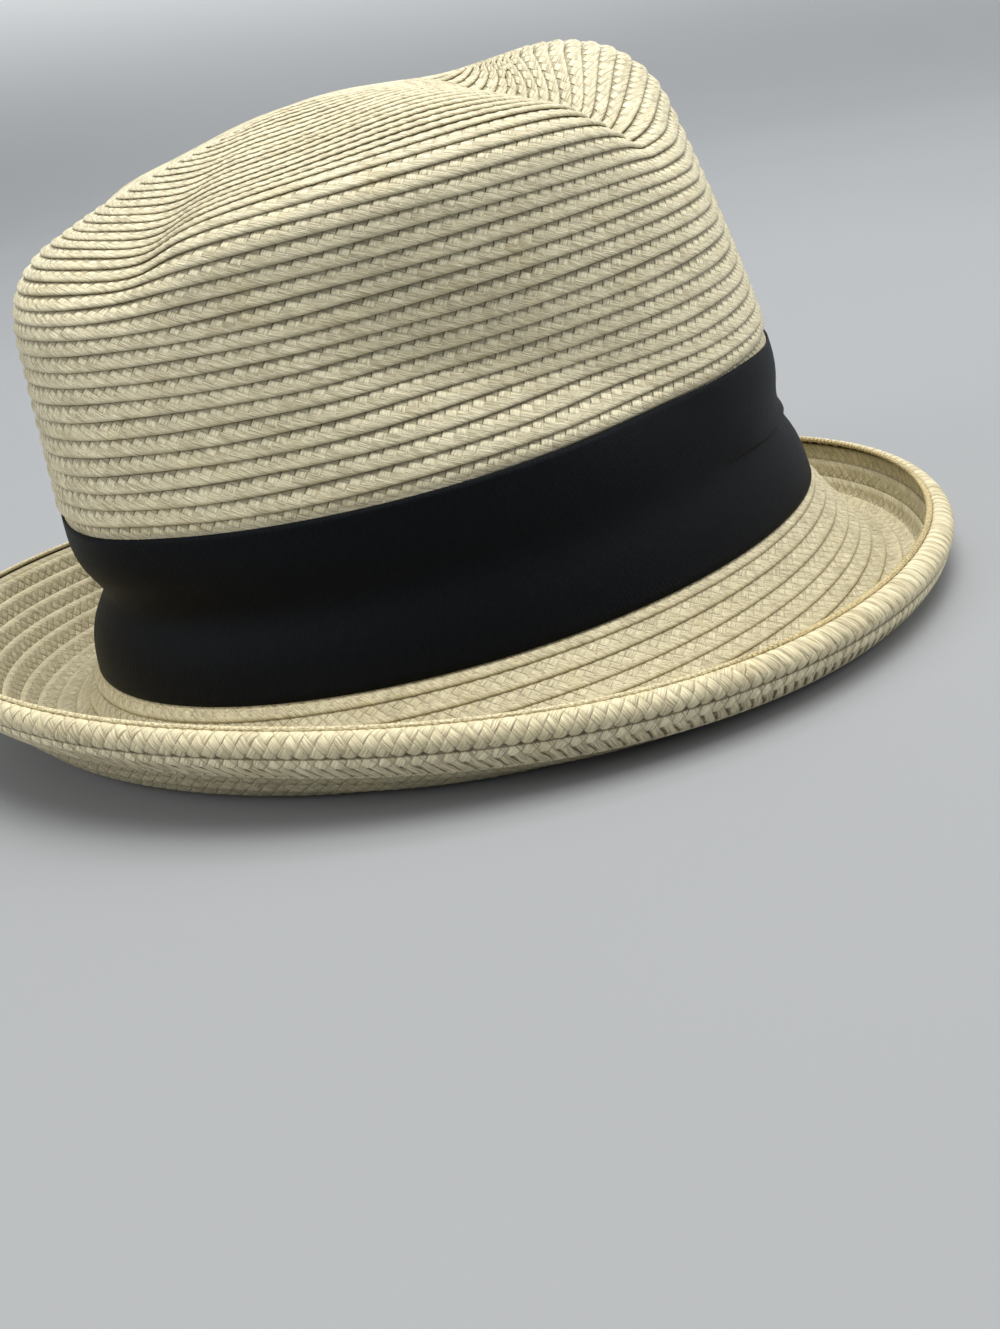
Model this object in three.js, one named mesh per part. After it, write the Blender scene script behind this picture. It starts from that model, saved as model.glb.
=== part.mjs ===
// A straw trilby: a crown with a softly domed top and two front pinches, a short brim turned up all round,
// the braid row folded over the brim's rim, and a wide ribbon round the foot of the crown.
// Millimetres, +Z up. The hat rests on its brim at z = 0, its front faces -Y and the wearer's right is -X.

import * as THREE from 'three';

// ---- Driving sizes -------------------------------------------------------------------------------
const FOOT_HALF_LENGTH = 104;    // outside of the crown's oval where it meets the brim, front to back
const FOOT_HALF_WIDTH = 82.5;    // the same oval, side to side
const TIP_HALF_LENGTH = 25;      // half of the straight seam that the crown's ovals close on at the top
const CROWN_LEAN = 4.25;         // degrees that the crown leans back when the brim lies flat
const FOOT_HEIGHT = 20.6;        // middle of the foot oval above the surface that the hat rests on
const FORE_SHIFT = -1.33;        // moves the hat so that its footprint is centred on the origin

const CROWN_WALL = 2;            // thickness of the crown's sewn braid
const BRIM_WALL = 2.4;           // thickness of the brim's sewn braid
const GAP = 0.3;                 // clearance between neighbouring pieces

const RIBBON_HEIGHT = 43;        // width of the ribbon
const RIBBON_THICK = 1;          // thickness of the ribbon with its folded layers
const WAIST_HEIGHT = 21;         // height of the tuck that runs round the ribbon
const WAIST_SPREAD = 8.5;        // half height of the hollow at the tuck
const RIBBON_STEPS = 4;          // steps up the ribbon and up the crown behind it
const STEP_HEIGHT = 2.6;         // height over which the straw swells out again above the ribbon

const DENT_FADE = 8;             // how soon a dent in the shoulder fades out down the side

const TOP_HALF_WIDTH = 12;       // nearly level part of the top, each side of its middle
const TOP_ROUND = 10;            // rounding at the edge of that part

const SHELF = 3.4;               // inner ring of the brim that the crown's wall stands on
const RESTING_RING = 5;          // width of the flat ring that the brim rests on
const DROP_CORNER = 0.72;        // how far out the brim's first slope would reach the resting ring
const BRIM_CUT_BACK = 1.3;       // the brim stops this far below the top of the rim

// ---- How finely the surfaces are divided ----------------------------------------------------------
const SECTIONS = 72;             // sections round the hat
const OUTER_STEPS = 13;          // steps from the ribbon's upper edge to the middle of the top, outside
const INNER_STEPS = 8;           // the same inside

// ---- Shape of the crown ----------------------------------------------------------------------------
// One row for each section, by its angle from the front. Reach is measured outwards from the tip's
// seam, height from the foot oval. The shoulder is the corner between the side and the top, the crest
// is where the top levels out, and the top's edge and middle are the heights of its nearly level part.
// The hollow is how far the side bows in (below 0: out), and the waist is how far the tuck in the
// ribbon is drawn in.
const CROWN_COLUMNS = [
  'angle', 'shoulderReach', 'shoulderHeight', 'crestReach', 'crestHeight',
  'shoulderRound', 'crestRound', 'hollow', 'waist', 'topEdge', 'topMiddle',
];
const CROWN_TABLE = [
  [0, 57, 117.5, 34, 126.3, 14, 10, -3, 4.5, 124.4, 123.8],
  [22, 54, 115, 32, 125.5, 10, 10, -3, 4, 123.8, 124],
  [45, 65, 114, 35, 124.5, 9, 12, 1, 2.5, 123.4, 124.6],
  [64, 70, 116.5, 38, 123.2, 9, 14, 3.5, 1.5, 124.6, 125.3],
  [90, 73, 116, 45, 123.3, 11, 14, 4, 1.5, 125.7, 126],
  [120, 73, 113, 46, 118.5, 11, 14, 3.5, 2, 125.4, 126.3],
  [146, 71, 105.5, 40, 117, 12, 14, 2, 4, 124.2, 125.8],
  [163, 71, 103.5, 40, 116, 14, 14, 0, 6, 122.9, 125.2],
  [180, 71, 103.5, 40, 116, 15, 14, 0, 6, 122.5, 125.1],
];

// Dents pressed into both sides of the crown: the front pinch and the softer dent near the back.
// Each is steepest at its angle and fades over one spread towards the front and another towards the back.
const DENTS = [
  {
    angle: 48, frontSpread: 20, backSpread: 15,
    shoulderReach: -17, shoulderHeight: -12, crestReach: -5, crestHeight: -13,
  },
  {
    angle: 148, frontSpread: 11, backSpread: 11,
    shoulderReach: -5, shoulderHeight: -5, crestReach: -1, crestHeight: -2,
  },
];

// ---- Shape of the brim ------------------------------------------------------------------------------
// Reach is measured outwards from the foot oval. The low reach is the middle of the resting ring, and
// the curl is the slope of the brim at its rim in degrees.
const BRIM_COLUMNS = ['angle', 'lowReach', 'rimReach', 'rimHeight', 'curl'];
const BRIM_TABLE = [
  [0, 27, 35.4, 17.6, 72],
  [45, 24, 33.8, 16.6, 71],
  [90, 21, 36.8, 18.5, 67],
  [135, 13.4, 36, 26.6, 63],
  [180, 10.4, 38.8, 31.5, 62],
];

// Cross-section of the folded braid row at the rim: distance along the brim past its rim, and distance
// outwards from the brim's upper face.
const RIM_COLUMNS = ['along', 'out'];
const RIM_TABLE = [
  [-8.4, 3.4],
  [-6.4, 5.6],
  [-3.4, 6.2],
  [-0.6, 5],
  [0.9, 2.4],
  [0.9, 0.4],
  [-BRIM_CUT_BACK + GAP, 0],
  [-BRIM_CUT_BACK + GAP, BRIM_WALL + GAP],
  [-4.8, BRIM_WALL + GAP],
  [-8.4, BRIM_WALL + GAP],
];

// ---- Colours ----------------------------------------------------------------------------------------
const STRAW = { color: 0xd8cda2, roughness: 0.75, metalness: 0 };
const RIBBON = { color: 0x14151a, roughness: 0.85, metalness: 0 };

// ---- Reading the tables -------------------------------------------------------------------------------
// The value of a column at an angle, on a smooth curve that is the same on the left and on the right.
function smooth(table, columns, column, angle) {
  const at = columns.indexOf(column);
  const folded = Math.abs(((angle + 180) % 360 + 360) % 360 - 180);
  const last = table.length - 1;
  const row = (i) => {
    if (i < 0) return [-table[-i][0], table[-i][at]];
    if (i > last) return [360 - table[2 * last - i][0], table[2 * last - i][at]];
    return [table[i][0], table[i][at]];
  };
  let i = 0;
  while (i < last - 1 && folded > table[i + 1][0]) i += 1;
  const [a0, v0] = row(i - 1);
  const [a1, v1] = row(i);
  const [a2, v2] = row(i + 1);
  const [a3, v3] = row(i + 2);
  const span = a2 - a1;
  const u = (folded - a1) / span;
  const slope1 = ((v2 - v0) / (a2 - a0)) * span;
  const slope2 = ((v3 - v1) / (a3 - a1)) * span;
  const h = u * u * (3 - 2 * u);
  return v1 + (v2 - v1) * h + slope1 * u * (1 - u) ** 2 - slope2 * u * u * (1 - u);
}

// How much the dents change one column of the crown's table at an angle.
function dented(column, angle) {
  const folded = Math.abs(((angle + 180) % 360 + 360) % 360 - 180);
  let change = 0;
  for (const dent of DENTS) {
    const spread = folded < dent.angle ? dent.frontSpread : dent.backSpread;
    change += dent[column] * Math.exp(-((Math.abs(folded - dent.angle) / spread) ** 1.5));
  }
  return change;
}

// ---- Lines that the pieces share ------------------------------------------------------------------------
// The upright plane of one section: where it leaves the tip's seam and the way it points, seen from above.
function plane(angle) {
  const turn = THREE.MathUtils.degToRad(angle);
  const root = new THREE.Vector2(0, -TIP_HALF_LENGTH * Math.cos(turn));
  const foot = new THREE.Vector2(-FOOT_HALF_WIDTH * Math.sin(turn), -FOOT_HALF_LENGTH * Math.cos(turn));
  const way = foot.clone().sub(root);
  const reach = way.length();
  way.divideScalar(reach);
  return { root, way, reach };
}

// A line with its corners rounded: each corner has the length of rounding that it takes up each side.
function roundedLine(points, rounding) {
  const path = new THREE.CurvePath();
  let from = points[0];
  for (let i = 1; i < points.length - 1; i += 1) {
    const before = points[i].clone().sub(points[i - 1]);
    const after = points[i + 1].clone().sub(points[i]);
    const size = Math.min(rounding[i], before.length() * 0.48, after.length() * 0.95);
    const start = points[i].clone().sub(before.setLength(size));
    const end = points[i].clone().add(after.setLength(size));
    path.add(new THREE.LineCurve(from, start));
    path.add(new THREE.QuadraticBezierCurve(start, points[i], end));
    from = end;
  }
  path.add(new THREE.LineCurve(from, points[points.length - 1]));
  return path;
}

// The crown's section at an angle, from its foot up the side and over the shoulder to the tip's seam.
function crownSection(angle) {
  const { root, way, reach } = plane(angle);
  const value = (column) => smooth(CROWN_TABLE, CROWN_COLUMNS, column, angle);
  const shoulder = new THREE.Vector2(
    value('shoulderReach') + dented('shoulderReach', angle),
    value('shoulderHeight') + dented('shoulderHeight', angle),
  );
  const crest = new THREE.Vector2(
    value('crestReach') + dented('crestReach', angle),
    value('crestHeight') + dented('crestHeight', angle),
  );
  const foot = new THREE.Vector2(reach, 0);
  const topEdge = new THREE.Vector2(TOP_HALF_WIDTH, value('topEdge'));
  const topMiddle = new THREE.Vector2(0, value('topMiddle'));
  const line = roundedLine(
    [foot, shoulder, crest, topEdge, topMiddle],
    [0, value('shoulderRound'), value('crestRound'), TOP_ROUND, 0],
  );
  return {
    root, way, line, length: line.getLength(), side: foot.distanceTo(shoulder),
    hollow: value('hollow'), waist: value('waist'), press: -dented('shoulderReach', angle),
  };
}

// How far the crown's side is drawn in at a height along it, by its hollow, the tuck and the ribbon.
// A dent pressed into the shoulder fades out down the side sooner than a straight side would.
function drawnIn(section, along) {
  const share = THREE.MathUtils.clamp(along / section.side, 0, 1);
  const bow = section.hollow * Math.sin(Math.PI * share) - section.press * (share - share ** DENT_FADE);
  const tuck = section.waist * Math.exp(-(((along - WAIST_HEIGHT) / WAIST_SPREAD) ** 2));
  const aboveRibbon = THREE.MathUtils.smoothstep(along, RIBBON_HEIGHT, RIBBON_HEIGHT + STEP_HEIGHT);
  return bow + tuck + (RIBBON_THICK + GAP) * (1 - aboveRibbon);
}

// A point on the crown's outer face, with the foot oval level.
function crownPoint(section, along) {
  const spot = section.line.getPoint(Math.min(along / section.length, 1));
  const reach = Math.max(spot.x - drawnIn(section, along), 0);
  return new THREE.Vector3(
    section.root.x + section.way.x * reach,
    section.root.y + section.way.y * reach,
    spot.y,
  );
}

// Turns a point of the level crown to where it sits above the resting brim.
function lean(point) {
  const turn = THREE.MathUtils.degToRad(-CROWN_LEAN);
  return point.applyAxisAngle(new THREE.Vector3(1, 0, 0), turn)
    .add(new THREE.Vector3(0, FORE_SHIFT, FOOT_HEIGHT));
}

// ---- Making closed meshes ---------------------------------------------------------------------------------
// The two triangles between neighbouring points a, b, c, d. The second face of a wall runs back along
// the first one, so it is split the other way, and the wall keeps its thickness.
function quad(a, b, c, d, isSecondFace) {
  return isSecondFace ? [a, d, b, d, c, b] : [a, c, b, a, d, c];
}

// A mesh through rings of points, where each ring closes on itself and the rings close round the hat.
function sweptRings(rings) {
  const perRing = rings[0].length;
  const positions = rings.flatMap((ring) => ring.flatMap((point) => point.toArray()));
  const index = [];
  for (let i = 0; i < rings.length; i += 1) {
    const next = (i + 1) % rings.length;
    for (let j = 0; j < perRing; j += 1) {
      const up = (j + 1) % perRing;
      const a = i * perRing + j;
      const b = next * perRing + j;
      const c = next * perRing + up;
      const d = i * perRing + up;
      index.push(...quad(a, b, c, d, j >= perRing / 2));
    }
  }
  return closedGeometry(positions, index);
}

// A mesh through section lines that all end on the tip's seam: outside up to the seam, inside back down.
function sweptShell(outer, inner) {
  const lines = outer.map((line, i) => [...line, ...inner[i].slice().reverse()]);
  const perLine = lines[0].length;
  const seam = outer[0].length - 1;
  const positions = lines.flatMap((line) => line.flatMap((point) => point.toArray()));
  const index = [];
  for (let i = 0; i < lines.length; i += 1) {
    const next = (i + 1) % lines.length;
    for (let j = 0; j < perLine; j += 1) {
      if (j === seam) continue;
      const up = (j + 1) % perLine;
      const a = i * perLine + j;
      const b = next * perLine + j;
      const c = next * perLine + up;
      const d = i * perLine + up;
      index.push(...quad(a, b, c, d, j > seam));
    }
  }
  return closedGeometry(positions, index);
}

function closedGeometry(positions, index) {
  const geometry = new THREE.BufferGeometry();
  geometry.setAttribute('position', new THREE.Float32BufferAttribute(positions, 3));
  geometry.setIndex(index);
  geometry.computeVertexNormals();
  return geometry;
}

const angles = Array.from({ length: SECTIONS }, (unused, i) => (i * 360) / SECTIONS);

// Heights at which the ribbon and the crown behind it are divided.
function ribbonStations(bottom, top) {
  const heights = Array.from({ length: RIBBON_STEPS + 1 }, (unused, i) => (RIBBON_HEIGHT * i) / RIBBON_STEPS);
  heights[0] = bottom;
  heights[RIBBON_STEPS] = top;
  return heights;
}

// ---- Crown ---------------------------------------------------------------------------------------------------
// Distances along a section where the crown is divided.
function crownStations(section, steps) {
  const underRibbon = ribbonStations(0, RIBBON_HEIGHT);
  const first = RIBBON_HEIGHT + STEP_HEIGHT;
  const above = Array.from({ length: steps + 1 }, (unused, i) => first + ((section.length - first) * i) / steps);
  return [...underRibbon, ...above];
}

function crownGeometry() {
  const sections = angles.map(crownSection);
  const nudge = 0.5;
  const outer = sections.map((section) => crownStations(section, OUTER_STEPS)
    .map((along) => crownPoint(section, along)));
  const inner = sections.map((section, i) => {
    const left = crownSection(angles[i] - nudge);
    const right = crownSection(angles[i] + nudge);
    return crownStations(section, INNER_STEPS).map((along, j, stations) => {
      const point = crownPoint(section, along);
      const share = along / section.length;
      const round = crownPoint(right, share * right.length).sub(crownPoint(left, share * left.length));
      const up = crownPoint(section, along + nudge).sub(crownPoint(section, along - nudge));
      const out = new THREE.Vector3().crossVectors(up, round).normalize();
      if (j === 0) out.setZ(0).normalize();
      if (j === stations.length - 1) out.set(0, 0, 1);
      return point.addScaledVector(out, -CROWN_WALL);
    });
  });
  return sweptShell(outer.map((line) => line.map(lean)), inner.map((line) => line.map(lean)));
}

// ---- Brim and rim -----------------------------------------------------------------------------------------------
// The brim's upper face at an angle: a shelf under the crown, a slope down to the resting ring, the
// ring, and the curl up to the rim.
function brimSection(angle) {
  const { root, way, reach } = plane(angle);
  const value = (column) => smooth(BRIM_TABLE, BRIM_COLUMNS, column, angle);
  const onFoot = (out) => lean(new THREE.Vector3(root.x + way.x * out, root.y + way.y * out, -GAP));
  const foot = onFoot(reach);
  const low = value('lowReach');
  const rim = new THREE.Vector2(value('rimReach'), value('rimHeight'));
  const curl = THREE.MathUtils.degToRad(value('curl'));
  const ringIn = new THREE.Vector2(low - RESTING_RING / 2, BRIM_WALL);
  const ringOut = new THREE.Vector2(low + RESTING_RING / 2, BRIM_WALL);
  const start = new THREE.Vector2(0, foot.z);
  const dropCorner = new THREE.Vector2(ringIn.x * DROP_CORNER, BRIM_WALL);
  const curlCorner = new THREE.Vector2(rim.x - (rim.y - BRIM_WALL) / Math.tan(curl), BRIM_WALL);
  return {
    foot, way,
    shelf: new THREE.LineCurve(new THREE.Vector2(-SHELF, onFoot(reach - SHELF).z), start),
    drop: new THREE.QuadraticBezierCurve(start, dropCorner, ringIn),
    ring: new THREE.LineCurve(ringIn, ringOut),
    curl: new THREE.QuadraticBezierCurve(ringOut, curlCorner, rim),
  };
}

// A point off one of the brim's lines: at a share of the line, and a distance out from the upper face.
function brimPoint(section, line, share, out) {
  const spot = line.getPointAt(Math.min(share, 1));
  const along = line.getTangentAt(Math.min(share, 1));
  if (share > 1) spot.addScaledVector(along, (share - 1) * line.getLength());
  const reach = spot.x + along.y * out;
  const height = spot.y - along.x * out;
  return new THREE.Vector3(
    section.foot.x + section.way.x * reach,
    section.foot.y + section.way.y * reach,
    height,
  );
}

function brimGeometry() {
  const rings = angles.map((angle) => {
    const section = brimSection(angle);
    const end = 1 - BRIM_CUT_BACK / section.curl.getLength();
    const stations = [
      [section.drop, 0.3], [section.drop, 0.65], [section.ring, 0], [section.ring, 1],
      [section.curl, 0.3], [section.curl, 0.6], [section.curl, end],
    ];
    const lower = [
      brimPoint(section, section.shelf, 0, BRIM_WALL),
      ...stations.map(([line, share]) => brimPoint(section, line, share, BRIM_WALL)),
    ];
    const upper = [
      brimPoint(section, section.shelf, 0, 0),
      brimPoint(section, section.shelf, 1, 0),
      ...stations.map(([line, share]) => brimPoint(section, line, share, 0)),
    ];
    return [...lower, ...upper.reverse()];
  });
  return sweptRings(rings);
}

function rimGeometry() {
  const rings = angles.map((angle) => {
    const section = brimSection(angle);
    const length = section.curl.getLength();
    const along = RIM_COLUMNS.indexOf('along');
    const out = RIM_COLUMNS.indexOf('out');
    return RIM_TABLE.map((row) => brimPoint(section, section.curl, 1 + row[along] / length, row[out]));
  });
  return sweptRings(rings);
}

// ---- Ribbon --------------------------------------------------------------------------------------------------------
function ribbonGeometry() {
  const heights = ribbonStations(GAP, RIBBON_HEIGHT - GAP);
  const rings = angles.map((angle) => {
    const section = crownSection(angle);
    const face = (height, out) => {
      const point = crownPoint(section, height);
      point.x += section.way.x * out;
      point.y += section.way.y * out;
      return lean(point);
    };
    const outside = heights.map((height) => face(height, GAP + RIBBON_THICK));
    const inside = heights.map((height) => face(height, GAP)).reverse();
    return [...outside, ...inside];
  });
  return sweptRings(rings);
}

// ---- The hat ---------------------------------------------------------------------------------------------------------
function piece(name, geometry, finish) {
  const mesh = new THREE.Mesh(geometry, new THREE.MeshStandardMaterial(finish));
  mesh.name = name;
  return mesh;
}

const hat = new THREE.Group();
hat.add(piece('crown', crownGeometry(), STRAW));
hat.add(piece('brim', brimGeometry(), STRAW));
hat.add(piece('brim_edge', rimGeometry(), STRAW));
hat.add(piece('hat_band', ribbonGeometry(), RIBBON));

export default hat;
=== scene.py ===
"""Looks of the straw trilby: sewn plaited braid, the rolled row on the rim, the edge cord and the ribbon."""

import math

import bpy
import numpy as np
from mathutils import Euler, Matrix, Vector


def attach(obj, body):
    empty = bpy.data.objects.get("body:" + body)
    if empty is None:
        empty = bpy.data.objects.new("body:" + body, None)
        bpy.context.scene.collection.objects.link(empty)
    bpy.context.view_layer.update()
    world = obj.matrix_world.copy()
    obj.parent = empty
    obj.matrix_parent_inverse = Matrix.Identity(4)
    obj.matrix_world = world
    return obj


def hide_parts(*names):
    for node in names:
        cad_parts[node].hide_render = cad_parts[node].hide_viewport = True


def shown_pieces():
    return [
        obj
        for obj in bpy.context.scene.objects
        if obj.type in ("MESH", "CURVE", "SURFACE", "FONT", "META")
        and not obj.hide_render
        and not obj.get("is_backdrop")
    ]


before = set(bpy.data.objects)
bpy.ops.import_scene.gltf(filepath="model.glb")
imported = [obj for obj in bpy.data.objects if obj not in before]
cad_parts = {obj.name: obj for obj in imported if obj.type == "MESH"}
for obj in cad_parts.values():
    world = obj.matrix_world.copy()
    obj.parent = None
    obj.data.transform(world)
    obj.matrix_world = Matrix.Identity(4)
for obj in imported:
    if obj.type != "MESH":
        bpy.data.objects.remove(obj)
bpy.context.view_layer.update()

bl_info = {
    "name": "Straw Trilby",
    "version": (1, 0, 0),
    "blender": (4, 5, 0),
    "location": "3D View > Sidebar > Trilby",
    "description": "Adds the sewn straw braid, rim and ribbon of a trilby",
    "category": "Add Mesh",
}

MM = 0.001

# ---- Form of the hat, in millimetres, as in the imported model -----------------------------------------
FOOT_HALF_LENGTH, FOOT_HALF_WIDTH, TIP_HALF_LENGTH = 104.0, 82.5, 25.0
CROWN_LEAN, FOOT_HEIGHT, FORE_SHIFT = 4.25, 20.6, -1.33
GAP = 0.3
RIBBON_HEIGHT, RIBBON_THICK = 43.0, 1.0
WAIST_HEIGHT, WAIST_SPREAD, STEP_HEIGHT, DENT_FADE = 21.0, 8.5, 2.6, 8.0
# The soft fold in one side: its height at an angle, its rise for each degree, its depth, how far it reaches
# above and below its line, how sharp it is, and the angles over which it begins and ends.
FOLD_HEIGHT, FOLD_ANGLE, FOLD_RISE, FOLD_DEPTH = 63.0, 90.0, 0.5, 5.0
FOLD_ABOVE, FOLD_BELOW, FOLD_SHARPNESS = 19.0, 11.0, 1.7
FOLD_BEGINS, FOLD_ENDS = (52, 78), (100, 121)
TOP_HALF_WIDTH, TOP_ROUND = 12.0, 10.0
RESTING_RING, DROP_CORNER, BRIM_WALL = 5.0, 0.72, 2.4
# A corner's rounding takes at most these shares of the lines before and after it.
SHARE_BEFORE, SHARE_AFTER = 0.48, 0.95
CORNER_STEPS, DROP_STEPS, CURL_STEPS = 14, 24, 32

CROWN = np.array([
    # angle, shoulder reach and height, crest reach and height, rounding of both, hollow, waist,
    # height of the top at its edge and its middle
    (0, 57, 117.5, 34, 126.3, 14, 10, -3, 4.5, 124.4, 123.8),
    (22, 54, 115, 32, 125.5, 10, 10, -3, 4, 123.8, 124),
    (45, 65, 114, 35, 124.5, 9, 12, 1, 2.5, 123.4, 124.6),
    (64, 70, 116.5, 38, 123.2, 9, 14, 3.5, 1.5, 124.6, 125.3),
    (90, 73, 116, 45, 123.3, 11, 14, 4, 1.5, 125.7, 126),
    (120, 73, 113, 46, 118.5, 11, 14, 3.5, 2, 125.4, 126.3),
    (146, 71, 105.5, 40, 117, 12, 14, 2, 4, 124.2, 125.8),
    (163, 71, 103.5, 40, 116, 14, 14, 0, 6, 122.9, 125.2),
    (180, 71, 103.5, 40, 116, 15, 14, 0, 6, 122.5, 125.1),
], float)
DENTS = (
    # angle, spread to the front and back, sharpness, change of shoulder reach, height, crest reach, height
    (48, 20, 15, 1.5, (-17, -12, -5, -13)),
    (148, 12, 12, 2.2, (-5, -5, -1, -2)),
)
BRIM = np.array([
    # angle, low reach, rim reach, rim height, curl
    (0, 27, 34.4, 15.8, 72),
    (45, 24, 33.2, 14.8, 71),
    (90, 21, 36.8, 18.5, 67),
    (135, 13.4, 36, 26.6, 63),
    (180, 10.4, 38.8, 31.5, 62),
], float)

# ---- The braid, in millimetres ---------------------------------------------------------------------------
# Section of one sewn row: distance in from its free edge, and distance off the face of the wall.
CROWN_OUTSIDE = ((0, 0.2), (0.2, 0.66), (0.65, 0.9), (1.4, 0.86), (2.2, 0.62), (3.1, 0.3),
                 (3.75, 0.02), (4.5, -0.26), (5.6, -0.46))
CROWN_INSIDE = ((5.7, -1.4), (4.2, -1.25), (2.1, -0.62), (0.5, -0.26))
BRIM_OUTSIDE = ((0, -0.1), (0.35, 0.3), (1.0, 0.46), (1.7, 0.4), (2.4, 0.2), (3.1, 0.0),
                (3.8, -0.25), (4.7, -0.5), (6.2, -0.85))
BRIM_INSIDE = ((6.3, -2.0), (5.6, -2.36), (4.7, -2.34), (3.8, -2.0), (2.9, -1.62), (1.6, -1.2), (0.3, -0.8))
ROW_MIDDLE, PLAIT_MIDDLE = 2.1, 3.1   # distance in from the free edge
WINDING_STEP = 1 / 1440   # turns, for measuring a strip's length
CROWN_RELIEF, BRIM_RELIEF, RIM_RELIEF = 0.24, 0.2, 0.15
INSIDE_RELIEF, INSIDE_MAP = 0.7, (0.5, 8.5)   # share of the relief, and shift of the inside on the map
ROW_SINK, RIM_SINK = 0.3, 0.35   # how far a strip's ends lie under their neighbours
CROWN_SLANT = 0.5   # how far the crown's plait leans, in plaits along the row for each plait across it
FINE_STEP, COARSE_STEP = 0.25, 1.0   # plaits between a strip's sections, where it shows and where it doesn't
TOP_THIN, CROWN_THIN, BRIM_THIN = 0.5, 0.88, 0.8   # share of its height that a row's section keeps there
ROW_ROLL = -0.62   # the depth below which a row's free edge is rounded, in plaits from the plait's middle

# Sections at the rim: distance past the brim's edge, and distance outwards from its upper face.
ROLL_SECTION = ((0.3, 0.55), (0.9, 0.95), (1.15, 1.6), (1.1, 2.4), (0.7, 3.3), (0.05, 4.1), (-0.9, 4.75),
                (-2.0, 5.1), (-3.1, 5.1), (-4.0, 4.8), (-4.5, 4.2), (-4.4, 3.5), (-3.2, 3.1), (-1.2, 2.7),
                (-0.3, 2.0), (-0.1, 1.2))
SECOND_SECTION = ((-3.8, 4.3), (-4.3, 4.85), (-5.0, 5.15), (-6.0, 5.25), (-7.2, 5.1), (-8.4, 4.85),
                  (-9.6, 4.6), (-10.8, 4.35), (-11.9, 4.1), (-12.8, 3.85), (-13.4, 3.4), (-13.3, 2.9),
                  (-11.5, 2.4), (-8.0, 2.4), (-5.0, 2.9))
ROLL_SEAM = SECOND_SEAM = 10   # the last point of each section that shows
LIP_RADIUS, LIP_CENTRE, LIP_SIDES = 0.62, 0.5, 10
RIM_PITCH, LIP_PITCH = 3.45, 1.6
# Up to the first of these angles from the front the rim's rows show only their left-leaning strands, and
# from the second one on they show the whole plait.
STRAND_REACH = (45, 85)
# At the front the folded row is wider: its section grows from a point near its seam, up and inwards.
GROWTH_FOOT, FRONT_GROWTH, FRONT_REACH = (-4.2, 5.1), (0.08, 0.5), (35, 95)

# ---- The ribbon and the fan of rows, in millimetres and degrees --------------------------------------------
RIBBON_START, RIBBON_LAP, LAP_RISE = 262.0, 9.0, 0.5
RIBBON_OFF, RIBBON_SHEET = 1.5, 0.42   # distance of its face off the crown's wall, and its own thickness
# The ribbon's upper edge dips at the front, and a small tuck in it folds over on each side of the front.
RIBBON_DIP, DIP_REACH = 3.5, (8, 55)
TUCK_HEIGHT, TUCK_ANGLE, TUCK_RISE, TUCK_DEPTH = 18.5, 28.0, 0.115, 1.6
TUCK_BEGINS, TUCK_ENDS, TUCK_EDGE, TUCK_FADE = (3, 12), (46, 60), (-0.4, 0.8), (0.8, 11)
# Stretches of lines up the ribbon: from, to and count. They lie closest together where the tuck is.
RIBBON_LINES = ((0.35, 14.5, 9), (15.4, 25.5, 17), (27, 42.9, 11))
MIDDLE_HEIGHT = 19.0   # the line along which the ribbon's length is measured
# Above the front pinch the crown's rows fan out: over the ridge each is this much further along.
FAN_SHIFT, FAN_START, FAN_MIDDLE, FAN_SIDES = 15.0, 22.0, 35.0, (12, 50)
EVEN_FROM = 0.35   # the share of the crown's rows below which they keep to the row pitch

# ---- Colours ---------------------------------------------------------------------------------------------
BRIM_TINT, ROLL_TINT = (0.80, 0.78, 0.735, 1), (1.02, 0.99, 0.93, 1)
# The second row's tint paints the row under the roll paler than the straw: painted light against the roll's
# shade.
SECOND_ROW_PAINTED_LIGHT, CORD_TINT = (1.15, 1.13, 1.1, 1), (0.92, 0.88, 0.78, 1)
# The slit colour is painted shade: it darkens the slits between the strands and the parts of a row in its
# neighbour's shade.
SLIT_SHADE_COLOUR, AGED_TINT = (0.095, 0.074, 0.033, 1), (0.90, 0.82, 0.60, 1)
# The notch colour is painted shade in the notches that the stitches pull into the edge cord.
NOTCH_SHADE_COLOUR, CORD_FRONT_TINT = (0.13, 0.095, 0.04, 1), (0.80, 0.72, 0.52, 1)
LINT_COLOUR, RIBBON_SHINE = (0.03, 0.03, 0.035, 1), (0.82, 0.9, 1.0, 1)


# ---- Reading the form ------------------------------------------------------------------------------------
def from_front(angles):
    """Angles from the front, the same left and right."""
    return np.abs((angles + 180) % 360 - 180)


def smooth(table, angles):
    """Every column of a table at each angle, on a curve that is the same left and right."""
    folded = from_front(angles)
    before, after = table[1] * 1, table[-2] * 1
    before[0], after[0] = -table[1, 0], 360 - table[-2, 0]
    rows = np.vstack([before, table, after])
    i = np.clip(np.searchsorted(table[:, 0], folded, side="right") - 1, 0, len(table) - 2) + 1
    r0, r1, r2, r3 = rows[i - 1], rows[i], rows[i + 1], rows[i + 2]
    span = r2[:, :1] - r1[:, :1]
    u = (folded[:, None] - r1[:, :1]) / span
    slope1 = (r2 - r0) / (r2[:, :1] - r0[:, :1]) * span
    slope2 = (r3 - r1) / (r3[:, :1] - r1[:, :1]) * span
    values = r1 + (r2 - r1) * u * u * (3 - 2 * u) + slope1 * u * (1 - u) ** 2 - slope2 * u * u * (1 - u)
    return values[:, 1:].T


def dented(angles):
    """Changes of shoulder reach and height and of crest reach and height where dents are pressed in."""
    folded = from_front(angles)
    change = np.zeros((4, len(angles)))
    for at, front, back, sharpness, depth in DENTS:
        spread = np.where(folded < at, front, back)
        change += np.outer(depth, np.exp(-(np.abs(folded - at) / spread) ** sharpness))
    return change


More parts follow.
